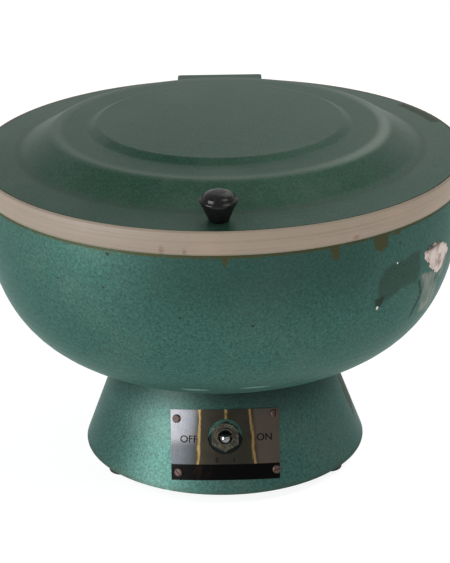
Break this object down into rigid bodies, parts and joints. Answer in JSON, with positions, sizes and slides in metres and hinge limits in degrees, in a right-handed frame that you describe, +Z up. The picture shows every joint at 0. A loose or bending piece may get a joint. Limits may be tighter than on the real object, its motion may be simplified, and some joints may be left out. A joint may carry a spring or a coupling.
{
  "type": "butterfat centrifuge",
  "caption": "Bench butterfat centrifuge: conical pedestal with motor and toggle switch, deep bowl, rotor with sloping tube sleeves and a stepped hinged lid.",
  "frame": {"origin": "on the rotor's axis, in the plane of the pedestal's lower rim, at the base plate's centre hole; the feet reach 12 mm below it", "axes": "+Z up along the rotor's axis, -Y towards the front with the switch panel, +Y towards the lid's hinge, +X to the right as seen from the front"},
  "size_m": [0.4299, 0.4451, 0.3181],
  "materials": {
    "green_enamel": "glossy hammered stove enamel",
    "cream_rubber": "aged, finely scratched",
    "black_rubber": "matte moulded",
    "black_plastic": "moulded phenolic",
    "cream_plastic": "moulded",
    "stainless": "brushed",
    "plated_steel": "zinc plated, dulled",
    "blackened_nut": "blackened, worn bright at the edges",
    "rusty_screws": "rusted brown",
    "bright_chrome": "polished",
    "cast_aluminium": "turned and satin",
    "dark_iron": "grey primer",
    "copper_wire": "varnished windings"
  },
  "bodies": {
    "housing": {"pedestal": "green_enamel", "base_plate": "dark_iron", "base_plate_screws": "plated_steel", "foot_left": "black_rubber", "foot_right": "black_rubber", "foot_rear": "black_rubber", "foot_screws": "plated_steel", "bowl": "green_enamel", "bowl_bolts": "plated_steel", "rim_band": "cream_rubber", "shaft_collar": "black_rubber", "motor_flange": "dark_iron", "motor_shell": "dark_iron", "motor_end_cap": "dark_iron", "motor_tie_rods": "plated_steel", "upper_bearing": "plated_steel", "lower_bearing": "plated_steel", "stator_core": "dark_iron", "stator_windings": "copper_wire", "terminal_block": "cream_plastic", "cable_gland": "black_plastic", "gland_nut": "black_plastic", "nameplate": "stainless", "nameplate_screws": "rusty_screws", "switch_body": "black_plastic", "switch_neck": "plated_steel", "switch_nut": "blackened_nut", "hinge_bracket": "green_enamel", "hinge_bolts": "plated_steel", "hinge_pin": "plated_steel"},
    "lid": {"lid": "green_enamel", "lid_tongue": "green_enamel", "tongue_rivets": "green_enamel", "lid_knob": "black_plastic", "knob_screw": "plated_steel"},
    "rotor": {"rotor_shaft": "plated_steel", "armature": "dark_iron", "rotor_hub": "cast_aluminium", "rotor_carrier": "cast_aluminium", "rotor_washer": "plated_steel", "rotor_nut": "plated_steel", "sleeve_1": "stainless", "sleeve_2": "stainless", "sleeve_3": "stainless", "sleeve_4": "stainless", "sleeve_5": "stainless", "sleeve_6": "stainless", "sleeve_7": "stainless", "sleeve_8": "stainless", "pad_1": "black_rubber", "pad_2": "black_rubber", "pad_3": "black_rubber", "pad_4": "black_rubber", "pad_5": "black_rubber", "pad_6": "black_rubber", "pad_7": "black_rubber", "pad_8": "black_rubber"},
    "toggle": {"toggle_lever": "bright_chrome"}
  },
  "joints": [
    {"name": "lid_hinge", "type": "hinge", "parent": "housing", "child": "lid", "pos_m": [0, 0.226, 0.2721], "axis": [-1, 0, 0], "range_deg": [0, 100]},
    {"name": "rotor_spin", "type": "hinge", "parent": "housing", "child": "rotor", "pos_m": [0, 0, 0.1], "axis": [0, 0, 1], "continuous": true},
    {"name": "switch_toggle", "type": "hinge", "parent": "housing", "child": "toggle", "pos_m": [0, -0.10928, 0.04757], "axis": [1, 0, 0], "range_deg": [-12, 12]}
  ]
}
